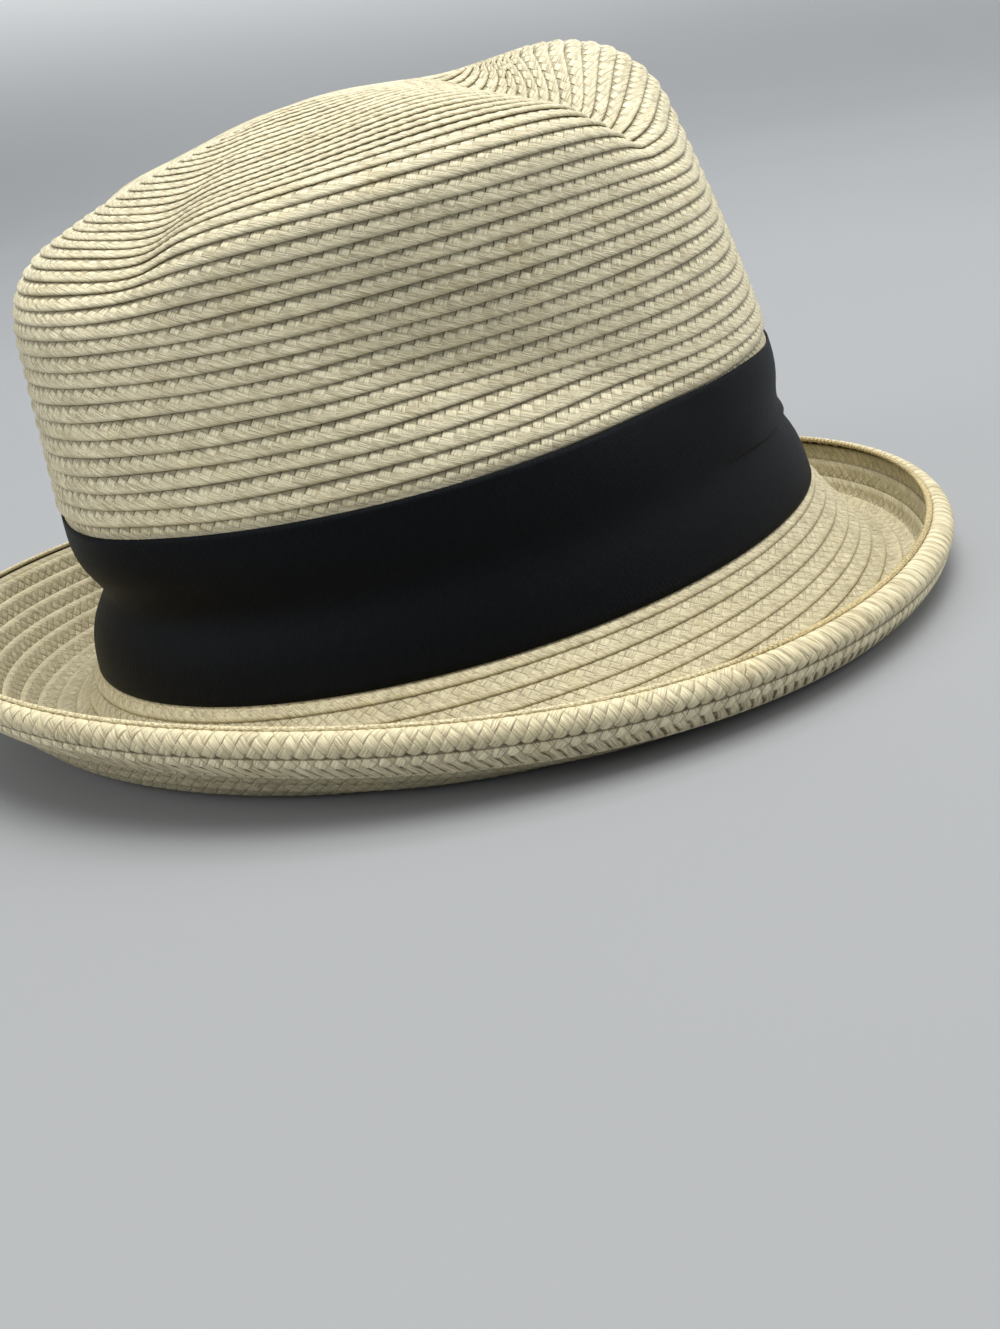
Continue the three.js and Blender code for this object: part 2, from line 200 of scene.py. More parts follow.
def plane(angles):
    """Where each section's plane leaves the tip's seam, the way it points, and its reach to the foot."""
    turn = np.radians(angles)
    root = np.stack([0 * turn, -TIP_HALF_LENGTH * np.cos(turn)], 1)
    foot = np.stack([-FOOT_HALF_WIDTH * np.sin(turn), -FOOT_HALF_LENGTH * np.cos(turn)], 1)
    reach = np.linalg.norm(foot - root, axis=1)
    return root, (foot - root) / reach[:, None], reach


def bezier(a, b, c, steps):
    """Curves from a to c that are drawn towards b, one for each section."""
    t = np.linspace(0, 1, steps)[None, :, None]
    return (1 - t) ** 2 * a[:, None] + 2 * t * (1 - t) * b[:, None] + t * t * c[:, None]


def rounded_lines(corners, rounding):
    """Lines with rounded corners, one line for each section."""
    parts = [corners[0][:, None]]
    for i in range(1, len(corners) - 1):
        before, after = corners[i] - corners[i - 1], corners[i + 1] - corners[i]
        length_b, length_a = (np.linalg.norm(v, axis=1) for v in (before, after))
        most = np.minimum(length_b * SHARE_BEFORE, length_a * SHARE_AFTER)
        size = np.minimum(rounding[i - 1], most)
        start = corners[i] - before * (size / length_b)[:, None]
        end = corners[i] + after * (size / length_a)[:, None]
        parts.append(bezier(start, corners[i], end, CORNER_STEPS))
    parts.append(corners[-1][:, None])
    return np.concatenate(parts, 1)


def measured(lines):
    """The length of each line up to each of its points."""
    steps = np.linalg.norm(np.diff(lines, axis=1), axis=2)
    return np.concatenate([np.zeros((len(lines), 1)), np.cumsum(steps, 1)], 1)


def read_along(lines, lengths, along):
    """Points of each line at distances along it."""
    out = np.empty(along.shape + (2,))
    for i in range(len(lines)):
        for k in range(2):
            out[i, :, k] = np.interp(along[i], lengths[i], lines[i, :, k])
    return out


def lean(points):
    """Points of the level crown, turned to where they sit above the resting brim."""
    turn = math.radians(-CROWN_LEAN)
    c, s = math.cos(turn), math.sin(turn)
    x, y, z = np.moveaxis(points, -1, 0)
    return np.stack([x, c * y - s * z + FORE_SHIFT, s * y + c * z + FOOT_HEIGHT], -1)


def ease(x, low, high):
    """A smooth step from 0 at low to 1 at high."""
    t = np.clip((x - low) / (high - low), 0, 1)
    return t * t * (3 - 2 * t)


def fold_depth(angles, along):
    """How far the soft slanting fold in the wearer's right side is pressed in."""
    line = FOLD_HEIGHT + FOLD_RISE * (angles[:, None] - FOLD_ANGLE)
    above = along - line
    spread = np.where(above > 0, FOLD_ABOVE, FOLD_BELOW)
    reach = ease(angles, *FOLD_BEGINS) * (1 - ease(angles, *FOLD_ENDS))
    return FOLD_DEPTH * reach[:, None] * np.exp(-(np.abs(above) / spread) ** FOLD_SHARPNESS)


def crown_lines(table, reach):
    """The crown's sections without their curves inward: foot, shoulder, crest, top."""
    zero = 0 * reach
    corners = [np.stack(pair, 1) for pair in (
        (reach, zero), (table[0], table[1]), (table[2], table[3]),
        (zero + TOP_HALF_WIDTH, table[8]), (zero, table[9]))]
    lines = rounded_lines(corners, [table[4], table[5], zero + TOP_ROUND])
    return lines, measured(lines), np.linalg.norm(corners[1] - corners[0], axis=1)[:, None]


def crown_points(angles, rows, count, pitch):
    """Points of the crown's outer face at each angle and row, counted up from the foot to the tip."""
    root, way, reach = plane(angles)
    table = smooth(CROWN, angles)
    even = ease(rows / count, EVEN_FROM, 1)
    fan = FAN_SHIFT * ease(rows, FAN_START, FAN_MIDDLE) * (1 - ease(rows, FAN_MIDDLE, count))
    fan = (1 - ease(from_front(angles), *FAN_SIDES))[:, None] * fan[None, :]

    def places(lengths):
        """How far along its line each row lies: at the row pitch at first, then spread to the tip."""
        return pitch * rows[None, :] + (lengths[:, -1:] - pitch * count) * even[None, :] + fan

    lines, lengths, side = crown_lines(table, reach)
    along = places(lengths)
    spots = read_along(lines, lengths, np.maximum(along, 0))
    table[:4] += dented(angles)
    lines, lengths, _ = crown_lines(table, reach)
    pressed = places(lengths)
    share = np.clip(along / side, 0, 1)
    spots += (read_along(lines, lengths, np.maximum(pressed, 0)) - spots) * share[..., None] ** DENT_FADE
    hollow, waist = table[6][:, None], table[7][:, None]
    inward = hollow * np.sin(math.pi * share)
    inward += waist * np.exp(-((along - WAIST_HEIGHT) / WAIST_SPREAD) ** 2)
    inward += fold_depth(angles, along)
    inward += (RIBBON_THICK + GAP) * (1 - ease(along, RIBBON_HEIGHT, RIBBON_HEIGHT + STEP_HEIGHT))
    out = np.maximum(spots[..., 0] - inward, 0)
    flat = root[:, None] + way[:, None] * out[..., None]
    height = spots[..., 1] + np.minimum(along, 0)
    return lean(np.concatenate([flat, height[..., None]], -1))


def brim_points(angles, along_of):
    """Points of the brim's upper face at each angle, at the distances out from the foot that along_of
    gives for the brim's width there. Past its ends the brim goes straight on."""
    root, way, reach = plane(angles)
    low, rim_reach, rim_height, curl = smooth(BRIM, angles)
    zero = 0 * reach
    foot = lean(np.concatenate([root + way * reach[:, None], (zero - GAP)[:, None]], 1))
    start = np.stack([zero, foot[:, 2]], 1)
    ring_in = np.stack([low - RESTING_RING / 2, zero + BRIM_WALL], 1)
    ring_out = np.stack([low + RESTING_RING / 2, zero + BRIM_WALL], 1)
    drop = np.stack([ring_in[:, 0] * DROP_CORNER, zero + BRIM_WALL], 1)
    rim = np.stack([rim_reach, rim_height], 1)
    corner_reach = rim_reach - (rim_height - BRIM_WALL) / np.tan(np.radians(curl))
    curl_corner = np.stack([corner_reach, zero + BRIM_WALL], 1)
    lines = np.concatenate([bezier(start, drop, ring_in, DROP_STEPS),
                            bezier(ring_out, curl_corner, rim, CURL_STEPS)], 1)
    lengths = measured(lines)
    along = along_of(lengths[:, -1:])
    spots = read_along(lines, lengths, np.clip(along, 0, None))
    first = (lines[:, 1] - lines[:, 0]) / lengths[:, 1:2]
    last = (lines[:, -1] - lines[:, -2]) / (lengths[:, -1:] - lengths[:, -2:-1])
    spots += first[:, None] * np.minimum(along, 0)[..., None]
    spots += last[:, None] * np.maximum(along - lengths[:, -1:], 0)[..., None]
    flat = foot[:, None, :2] + way[:, None] * spots[..., :1]
    return np.concatenate([flat, spots[..., 1:]], -1)


class Face:
    """A face of the hat as a table of points and normals, read at any angle and row."""

    angle_step = 0.5

    def __init__(self, points_at, low, high, row_step, flip):
        self.low, self.row_step = low, row_step
        self.rows = np.arange(low, high + row_step / 2, row_step)
        angles = np.arange(0, 360, self.angle_step)
        self.points = points_at(angles, self.rows)
        round_it = np.roll(self.points, -1, 0) - np.roll(self.points, 1, 0)
        up_it = np.gradient(self.points, axis=1)
        normals = np.cross(up_it, round_it) * (-1 if flip else 1)
        size = np.linalg.norm(normals, axis=2, keepdims=True)
        self.normals = np.where(size > 1e-4, normals / np.maximum(size, 1e-9), (0, 0, 1))

    def at(self, angles, rows):
        a = np.mod(angles, 360) / self.angle_step
        b = np.clip((rows - self.low) / self.row_step, 0, len(self.rows) - 1.001)
        i, j = np.floor(a).astype(int), np.floor(b).astype(int)
        fa, fb = (a - i)[..., None], (b - j)[..., None]
        count = len(self.points)
        i, n = i % count, (i + 1) % count

        def read(t):
            lower = t[i, j] * (1 - fa) + t[n, j] * fa
            upper = t[i, j + 1] * (1 - fa) + t[n, j + 1] * fa
            return lower * (1 - fb) + upper * fb

        normals = read(self.normals)
        return read(self.points), normals / np.linalg.norm(normals, axis=-1, keepdims=True)


# ---- Making meshes ---------------------------------------------------------------------------------------
def tube_piece(name, points, uvs, closed, material):
    """A closed skin through sections (stations x points x 3, in millimetres). closed joins the last section
    to the first one; otherwise both ends get a cap. uvs are given for each corner point."""
    stations, per = points.shape[:2]
    count = stations if closed else stations - 1
    i = np.arange(count)[:, None]
    j = np.arange(per)[None, :]
    next_i, next_j = (i + 1) % stations, (j + 1) % per

    def corners_of(*grids):
        """One row for each quad, with its four corners' numbers."""
        return np.stack([np.broadcast_to(grid, (count, per)) for grid in grids], -1).reshape(-1, 4)

    quads = corners_of(i * per + j, i * per + next_j, next_i * per + next_j, next_i * per + j)
    corner_u = corners_of(i, i, i + 1, i + 1)
    corner_v = corners_of(j, j + 1, j + 1, j)
    p = points.reshape(-1, 3)
    volume = sum(np.einsum("ij,ij->i", p[quads[:, 0]], np.cross(p[quads[:, k]], p[quads[:, k + 1]])).sum()
                 for k in (1, 2))
    ends = [] if closed else [np.arange(per)[::-1], (stations - 1) * per + np.arange(per)]
    if volume < 0 and closed:
        quads, corner_u, corner_v = quads[:, ::-1], corner_u[:, ::-1], corner_v[:, ::-1]
    mesh = bpy.data.meshes.new(name)
    mesh.vertices.add(len(p))
    mesh.vertices.foreach_set("co", (p * MM).astype(np.float32).ravel())
    loops = np.concatenate([quads.ravel()] + ends)
    mesh.loops.add(len(loops))
    mesh.loops.foreach_set("vertex_index", loops.astype(np.int32))
    sizes = np.array([4] * len(quads) + [per] * len(ends))
    mesh.polygons.add(len(sizes))
    mesh.polygons.foreach_set("loop_start", np.concatenate([[0], np.cumsum(sizes)[:-1]]).astype(np.int32))
    mesh.update(calc_edges=True)
    layer = mesh.uv_layers.new(name="braid")
    flat = uvs[corner_u.ravel(), corner_v.ravel()]
    flat = np.concatenate([flat] + [uvs[0, :per]] * (len(ends) > 0) + [uvs[-1, :per]] * (len(ends) > 0))
    layer.data.foreach_set("uv", flat.astype(np.float32).ravel())
    mesh.validate()
    mesh.materials.append(material)
    mesh.shade_smooth()
    obj = bpy.data.objects.new(name, mesh)
    bpy.context.scene.collection.objects.link(obj)
    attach(obj, "root")
    return obj


def strand_relief(u, v, first, last):
    """Height of the left-leaning strands that lie side by side between two depths of a row."""
    mean, fade = 0.6, 0.2
    part = (u + v + 0.5) % 1
    hump = (np.maximum(4 * part * (1 - part), 0) ** 0.5 - mean) * ease(v, first, first + fade)
    return hump * (1 - ease(v, last - fade, last))


def plait_relief(u, v):
    """Height of the plait, from 0 at the crossings' corners to 1 on top of each strand."""
    return np.abs(np.cos(2 * math.pi * u) + np.cos(2 * math.pi * v)) / 2


def braid_pieces(name, face, turns, row_of, sink_of, thin_of, outside, inside, relief, cuts, direction,
                 slant, material):
    """One long strip wound round the hat, cut into pieces that each take up where the last one ends.
    turns are the first and the last that the strip makes. At a number of turns, row_of gives the row of the
    strip's free edge, sink_of how far it lies under and thin_of the share of its section's height. cuts
    lists each piece's first and last turn and its step in plaits. direction is 1 where a row runs up from
    its free edge. slant is how far the plait leans."""
    sizes, _ = settings()
    fine = np.arange(turns[0], turns[1], WINDING_STEP)
    middle, _ = face.at(fine * 360, row_of(fine) + direction * ROW_MIDDLE / sizes.row_pitch_mm)
    length = np.concatenate([[0], np.cumsum(np.linalg.norm(np.diff(middle, axis=0), axis=1))])
    section = np.array(outside + inside)
    y, n = section[:, 0], section[:, 1]
    is_outside = np.arange(len(section)) < len(outside)
    pieces = []
    for index, (first, last, step) in enumerate(cuts):
        start, end = np.interp([first, last], fine, length)
        grid = sizes.plait_pitch_mm * step
        stations = np.arange(math.floor(start / grid), math.ceil(end / grid) + 1) * grid
        stations = np.unique(np.clip(stations, length[0], length[-1]))
        tau = np.interp(stations, length, fine)
        rows = row_of(tau)[:, None] + direction * y[None, :] / sizes.row_pitch_mm
        points, normals = face.at(np.repeat(tau[:, None] * 360, len(y), 1), rows)
        u = -stations / sizes.plait_pitch_mm
        v = (y - PLAIT_MIDDLE) / sizes.plait_height_mm
        leaning = u[:, None] + slant * v[None, :]
        swell = relief * (plait_relief(leaning, v[None, :]) - 0.5) * ease(v, -0.8, -0.4)[None, :]
        swell = np.where(is_outside[None, :], swell, -swell * INSIDE_RELIEF)
        lift = n[None, :] * thin_of(tau)[:, None] + swell - sink_of(tau)[:, None]
        points = points + normals * lift[..., None]
        v_once, on_outside = np.append(v, v[0]), np.append(is_outside, False)
        v_loop = np.where(on_outside, v_once, v_once + INSIDE_MAP[1])
        u_loop = np.where(on_outside, 0.0, INSIDE_MAP[0]) + slant * v_once
        uvs = np.stack(np.broadcast_arrays(u[:, None] + u_loop[None, :], v_loop[None, :]), -1)
        obj = tube_piece(f"{name}_{index + 1}", points, uvs, False, material)
        pieces.append(obj)
    return pieces


def ring_piece(name, face, section, pitch, braid_rows, relief, material, per_pitch, strands=None,
               wider=True):
    """A braid row that runs once round the rim on the brim's face, through a closed section of points
    (distance past the rim, distance outwards from the upper face). braid_rows is the map's v at the first
    point, its change up to the seam and the seam. strands gives the part of the row with left-leaning
    strands and their height at the sides and at the front. A wider one grows up and inwards at the front."""
    fine = np.arange(0, 360, 0.25)
    past, out = np.array(section).T
    line, _ = face.at(fine, 0 * fine)
    girth = np.linalg.norm(np.roll(line, -1, 0) - line, axis=1)
    length = np.concatenate([[0], np.cumsum(girth)])
    plaits = round(length[-1] / pitch)
    stations = np.arange(plaits * per_pitch) * length[-1] / (plaits * per_pitch)
    angles = np.interp(stations, length, np.append(fine, 360))
    around = np.concatenate([[0], np.cumsum(np.hypot(np.diff(past), np.diff(out)))])
    first_row, rows, seam = braid_rows
    v = first_row + around / around[seam] * rows
    u = np.arange(len(stations)) / per_pitch
    swell = relief * (plait_relief(u[:, None], v[None, :]) - 0.5)
    if strands:
        low, high, side_height, front_height = strands
        front = 1 - ease(from_front(angles), *STRAND_REACH)
        height = side_height + (front_height - side_height) * front
        ropes = strand_relief(u[:, None], v[None, :], low, high)
        swell = swell * (1 - front[:, None]) + ropes * height[:, None]
    swell = np.where(np.arange(len(past))[None, :] <= seam, swell, 0)
    centre = np.array([past.mean(), out.mean()])
    way = np.stack([past, out], 1) - centre
    way /= np.linalg.norm(way, axis=1, keepdims=True)
    growth = (1 - ease(from_front(angles), *FRONT_REACH))[:, None] * (np.array(FRONT_GROWTH) * wider)
    past = past[None, :] + growth[:, :1] * (past - GROWTH_FOOT[0])[None, :]
    out = out[None, :] + growth[:, 1:] * (out - GROWTH_FOOT[1])[None, :]
    points, normals = face.at(np.repeat(angles[:, None], len(section), 1), past + swell * way[None, :, 0])
    points = points - normals * (out + swell * way[None, :, 1])[..., None]
    u_loop = np.append(u, u[-1] + 1 / per_pitch)
    v_loop = np.append(v, v[-1])
    uvs = np.stack(np.broadcast_arrays(u_loop[:, None], v_loop[None, :]), -1)
    obj = tube_piece(name, points, uvs, True, material)
    return obj


# ---- Materials -------------------------------------------------------------------------------------------
class Graph:
    """Short calls for building a node tree."""

    def __init__(self, tree):
        self.tree = tree

    def add(self, kind, **settings):
        """Adds a node and sets its properties."""
        node = self.tree.nodes.new(kind)
        for key, value in settings.items():
            setattr(node, key, value)
        return node

    def feed(self, socket, value):
        """Links a socket to an output, or sets its constant value."""
        if isinstance(value, bpy.types.NodeSocket):
            self.tree.links.new(value, socket)
        elif value is not None:
            socket.default_value = value

    def math(self, operation, a, b=None, c=None, clamp=False):
        node = self.add("ShaderNodeMath", operation=operation, use_clamp=clamp)
        for socket, value in zip(node.inputs, (a, b, c)):
            self.feed(socket, value)
        return node.outputs[0]

    def plus(self, a, b):
        return self.math("ADD", a, b)

    def minus(self, a, b):
        return self.math("SUBTRACT", a, b)

    def times(self, a, b):
        return self.math("MULTIPLY", a, b)

    def larger(self, a, b):
        return self.math("MAXIMUM", a, b)

    def mix(self, factor, a, b):
        """Mixes two numbers."""
        node = self.add("ShaderNodeMix", data_type="FLOAT")
        for socket, value in zip((node.inputs[0], node.inputs[2], node.inputs[3]), (factor, a, b)):
            self.feed(socket, value)
        return node.outputs[0]

    def blend(self, factor, a, b, kind="MIX"):
        """Mixes two colours."""
        node = self.add("ShaderNodeMix", data_type="RGBA", blend_type=kind)
        for socket, value in zip((node.inputs[0], node.inputs[6], node.inputs[7]), (factor, a, b)):
            self.feed(socket, value)
        return node.outputs[2]

    def step(self, value, low, high, to_low=0.0, to_high=1.0):
        """Goes smoothly from to_low at low to to_high at high."""
        node = self.add("ShaderNodeMapRange", interpolation_type="SMOOTHSTEP")
        for socket, number in zip(node.inputs, (value, low, high, to_low, to_high)):
            self.feed(socket, number)
        return node.outputs[0]

    def vector(self, x=0.0, y=0.0, z=0.0):
        node = self.add("ShaderNodeCombineXYZ")
        for socket, value in zip(node.inputs, (x, y, z)):
            self.feed(socket, value)
        return node.outputs[0]

    def noise(self, vector, scale, detail=2.0, roughness=0.5):
        node = self.add("ShaderNodeTexNoise")
        self.feed(node.inputs["Vector"], vector)
        self.feed(node.inputs["Scale"], scale)
        self.feed(node.inputs["Detail"], detail)
        self.feed(node.inputs["Roughness"], roughness)
        return node.outputs[0]

    def random(self, vector):
        node = self.add("ShaderNodeTexWhiteNoise", noise_dimensions="3D")
        self.feed(node.inputs["Vector"], vector)
        return node.outputs[0]

    def split(self, vector):
        """The x, y and z of a vector."""
        node = self.add("ShaderNodeSeparateXYZ")
        self.feed(node.inputs[0], vector)
        return node.outputs

    def spot(self):
        """The place on the object, in metres."""
        return self.add("ShaderNodeTexCoord").outputs["Object"]

    def braid_map(self):
        """The place along and across a piece, from its own map."""
        return self.split(self.add("ShaderNodeUVMap", uv_map="braid").outputs[0])[:2]

    def bump(self, height, distance, strength=1.0):
        """The normal of a relief, where a height of 1 stands for distance in metres."""
        node = self.add("ShaderNodeBump")
        node.inputs["Strength"].default_value = strength
        node.inputs["Distance"].default_value = distance
        self.feed(node.inputs["Height"], height)
        return node.outputs[0]


def new_material(name):
    """A new material with its graph and its main shader."""
    material = bpy.data.materials.new(name)
    material.use_nodes = True
    tree = material.node_tree
    return material, Graph(tree), tree.nodes["Principled BSDF"]


class Weave:
    """The plait at a point of the braid's own map, which has one crossing to every unit, with a
    right-leaning strand on top at whole numbers. Below roll the row is rounded and shows left-leaning
    strands only. strands gives a part of the row that does so too: its lower and upper depth, and the
    object's y where that begins to fade towards the back and where it has ended."""

    def __init__(self, g, spot, roll, strands):
        self.g = g
        self.roll = roll
        raw_u, self.raw_v = g.braid_map()
        wander_u = g.noise(spot, 260.0, 1.0)
        wander_v = g.noise(spot, 190.0, 1.0)
        u = g.plus(raw_u, g.math("MULTIPLY_ADD", wander_u, 0.22, -0.11))
        self.v = g.plus(self.raw_v, g.math("MULTIPLY_ADD", wander_v, 0.16, -0.08))
        s = g.plus(g.plus(u, self.v), 0.5)
        t = g.plus(g.minus(u, self.v), 0.5)
        cell_s, cell_t = g.math("FLOOR", s), g.math("FLOOR", t)
        part_s, part_t = g.minus(s, cell_s), g.minus(t, cell_t)
        only_left = 0.0
        if roll is not None:
            only_left = g.step(self.v, roll - 0.06, roll + 0.06, 1.0, 0.0)
        if strands is not None:
            first, last, front_to, front_end = strands
            front = g.step(g.split(spot)[1], front_to, front_end, 1.0, 0.0)
            band = g.times(g.step(self.v, first, first + 0.05), g.step(self.v, last - 0.05, last, 1.0, 0.0))
            # 1 where the row is a rope of left-leaning strands
            self.rope = g.math("GREATER_THAN", g.times(band, front), 0.5)
            only_left = g.larger(only_left, self.rope)
        woven_left = g.math("FLOORED_MODULO", g.plus(cell_s, cell_t), 2.0)
        self.is_left = g.larger(woven_left, only_left)
        self.is_right = g.minus(1.0, self.is_left)
        self.woven = g.minus(1.0, only_left)
        # how far along and across the strand on top the point lies, from 0 to 1
        self.along = g.mix(self.is_left, part_s, part_t)
        self.across = g.mix(self.is_left, part_t, part_s)
        run = g.mix(self.is_left, s, t)
        side = g.mix(self.is_left, t, s)
        fibre_spot = g.vector(g.times(side, 7.0), g.times(run, 0.5), g.times(self.is_left, 51.3))
        self.fibres = g.noise(fibre_spot, 1.0, 1.0, 0.6)
        hair_spot = g.vector(g.times(side, 17.0), g.times(run, 0.9), g.times(self.is_left, 13.7))
        self.hairs = g.noise(hair_spot, 1.0, 1.0)
        strand = g.mix(self.is_left, cell_t, cell_s)
        self.strand_tone = g.random(g.vector(strand, self.is_left, 0.5))
        self.cell_tone = g.random(g.vector(cell_s, cell_t, 2.5))

    def near(self, x, width):
        """1 close to 0, and 0 from the width on."""
        return self.g.step(x, width * 0.25, width, 1.0, 0.0)

    def arch(self, x):
        """A round hump from 0 to 1, with 1 in the middle."""
        g = self.g
        hump = g.times(g.times(x, g.minus(1.0, x)), 4.0)
        return g.math("POWER", g.larger(hump, 0.0), 0.5)

    def slit(self, slits, rope_gap, hollow):
        """Depth of the slits between the strands, which both dip the relief and are painted dark as painted
        shade. straw_material says what the arguments hold.
        """
        g, across, along = self.g, self.across, self.along
        other_end, other_side = g.minus(1.0, along), g.minus(1.0, across)
        r_left, r_right, r_top, r_bottom, l_low, l_high = slits
        lines = (
            (self.near(across, 0.17), self.is_right, r_left),
            (self.near(other_side, 0.12), self.is_right, r_right),
            (self.near(other_end, 0.14), self.is_right, r_top),
            (self.near(along, 0.12), self.is_right, r_bottom),
            (self.near(across, 0.12), self.is_left, l_low),
            (self.near(other_side, 0.1), self.is_left, l_high),
        )
        slit = 0.0
        for line, where, depth in lines:
            slit = g.larger(slit, g.times(g.times(line, where), depth))
        if rope_gap is not None:
            gap_depth, gap_width = rope_gap
            deep = g.larger(g.times(self.near(across, 0.1), 0.35), self.near(other_side, gap_width))
            slit = g.larger(slit, g.times(g.times(deep, gap_depth), self.rope))
        if hollow is not None:
            sink_from, sink_to, depth = hollow
            sunk = g.times(g.step(self.raw_v, sink_from, sink_to, 0.0, depth), self.is_left)
            slit = g.larger(slit, sunk)
        if self.roll is not None:
            slit = g.times(slit, g.step(self.v, self.roll + 0.1, self.roll + 0.5, 0.0, 1.0))
        return slit

    def height(self, slit):
        """Height of the round strands and their fibres, less the slits."""
        g = self.g
        rise_along = g.mix(self.woven, 1.0, self.arch(self.along))
        height = g.times(rise_along, g.math("MULTIPLY_ADD", self.arch(self.across), 0.5, 0.5))
        height = g.plus(height, g.math("MULTIPLY_ADD", self.fibres, 0.8, g.times(self.hairs, 0.35)))
        return g.minus(height, g.times(slit, 0.7))

    def tone(self, spot, facet, contrast):
        """How pale the straw is: 0 on its darkest fibres, 0.5 on most of it and 1 on the palest. The
        right-leaning strands on top are painted paler than the others, and the rounded edge is painted paler
        too: painted highlight.
        """
        g = self.g
        patch = g.noise(spot, 30.0, 2.0, 0.6)
        tone = g.math("MULTIPLY_ADD", self.strand_tone, 0.14, g.times(self.cell_tone, 0.14))
        tone = g.plus(tone, g.times(self.fibres, 1.5 * contrast))
        tone = g.plus(tone, g.times(self.hairs, 1.3 * contrast))
        tone = g.plus(tone, g.times(patch, 0.25))
        tone = g.minus(tone, 0.265 + 1.4 * contrast)
        # painted highlight on the right-leaning strands on top, and painted shade on the left-leaning ones
        # between them
        tone = g.plus(tone, g.math("MULTIPLY_ADD", self.is_right, facet, 0.5 - facet * 0.5))
        # painted highlight: the rounded edge below roll is painted paler
        if self.roll is not None:
            tone = g.plus(tone, g.step(self.v, self.roll - 0.1, self.roll + 0.1, 0.17, 0.0))
        return tone

    def shade(self, spot, row_shade):
        """The neighbour's shade on parts of a row: full on the sides and at the front, and faint on the
        rest of the top."""
        g = self.g
        y, z = g.split(spot)[1:]
        on_side = g.larger(g.step(z, 0.11, 0.14, 1.0, 0.25), g.step(y, -0.05, -0.02, 0.9, 0.0))
        shade = 0.0
        for centre, width, strength in row_shade:
            away = g.math("ABSOLUTE", g.minus(self.raw_v, centre))
            shade = g.larger(shade, g.times(g.step(away, width * 0.35, width, strength, 0.0), on_side))
        return shade


def straw_material(name, colours, slits, row_shade=(), roll=None, facet=0.3, bump=0.00022, contrast=1.0,
                   hollow=None, strands=None, rope_gap=None):
    """Plaited straw: strands that cross at an angle, each of a few fibres. roll and strands are as Weave
    says. slits are the depths of the dark lines along a right-leaning strand's left, right, top and bottom
    and along a left-leaning strand's lower and upper side: painted shade, which also dips the relief.
    rope_gap gives, for the part that strands names, how dark the painted shade between the strands is, and
    the width of that shade as a share of a strand. hollow gives where the left-leaning strands sink between
    the others and how dark their painted shade is: (from, to, strength). row_shade lists the parts of a row
    in its neighbour's shade, painted dark: (middle, half width, strength). facet is how much paler the
    right-leaning strands are painted, as painted highlight. contrast is how far the fibres differ."""
    material, g, shader = new_material(name)
    spot = g.spot()
    weave = Weave(g, spot, roll, strands)
    ragged = g.noise(spot, 420.0, 1.0)
    slit = g.times(weave.slit(slits, rope_gap, hollow), g.step(ragged, 0.25, 0.6, 0.5, 1.15))
    g.feed(shader.inputs["Normal"], g.bump(weave.height(slit), bump))

    low, middle, high = colours
    tone = weave.tone(spot, facet, contrast)
    colour = g.blend(g.step(tone, 0.0, 0.5), low, middle)
    colour = g.blend(g.step(tone, 0.5, 1.0), colour, high)
    tint = g.noise(spot, 90.0, 2.0)
    colour = g.blend(g.step(tint, 0.5, 0.8, 0.0, 0.25), colour, AGED_TINT, "MULTIPLY")
    # painted shade: the slits between the strands and the neighbour's shade on a row are painted in the dark
    # slit colour
    slit = g.larger(slit, weave.shade(spot, row_shade))
    colour = g.blend(g.math("MINIMUM", slit, 1.0), colour, SLIT_SHADE_COLOUR)
    g.feed(shader.inputs["Base Color"], colour)
    g.feed(shader.inputs["Roughness"], g.math("MULTIPLY_ADD", weave.fibres, 0.22, 0.44))
    shader.inputs["Specular IOR Level"].default_value = 0.4
    return material


def cord_material(name, colours):
    """Thin edge cord with a notch where each stitch pulls it in; the notch is dipped in the relief and
    painted dark as painted shade.
    """
    material, g, shader = new_material(name)
    spot = g.spot()
    along, across = g.braid_map()
    part = g.math("FRACT", g.plus(along, g.times(across, 0.6)))
    notch = g.step(g.math("MINIMUM", part, g.minus(1.0, part)), 0.04, 0.2, 1.0, 0.0)
    notch = g.times(notch, g.step(g.noise(spot, 30.0, 2.0), 0.35, 0.6, 0.15, 1.0))
    hairs = g.noise(g.vector(g.times(along, 1.2), g.times(across, 5.0)), 1.6, 2.0)
    low, _, high = colours
    colour = g.blend(g.step(hairs, 0.3, 0.7), low, high)
    front = g.step(g.split(spot)[1], -0.04, 0.0, 1.0, 0.0)
    colour = g.blend(g.times(front, 0.8), colour, CORD_FRONT_TINT, "MULTIPLY")
    notch = g.times(notch, g.math("MULTIPLY_ADD", front, 0.85, 0.15))
    # painted shade in each stitch's notch, stronger at the front
    colour = g.blend(g.times(notch, 0.75), colour, NOTCH_SHADE_COLOUR)
    g.feed(shader.inputs["Base Color"], colour)
    shader.inputs["Roughness"].default_value = 0.6
    g.feed(shader.inputs["Normal"], g.bump(g.minus(g.times(hairs, 0.5), notch), 0.0002))
    return material


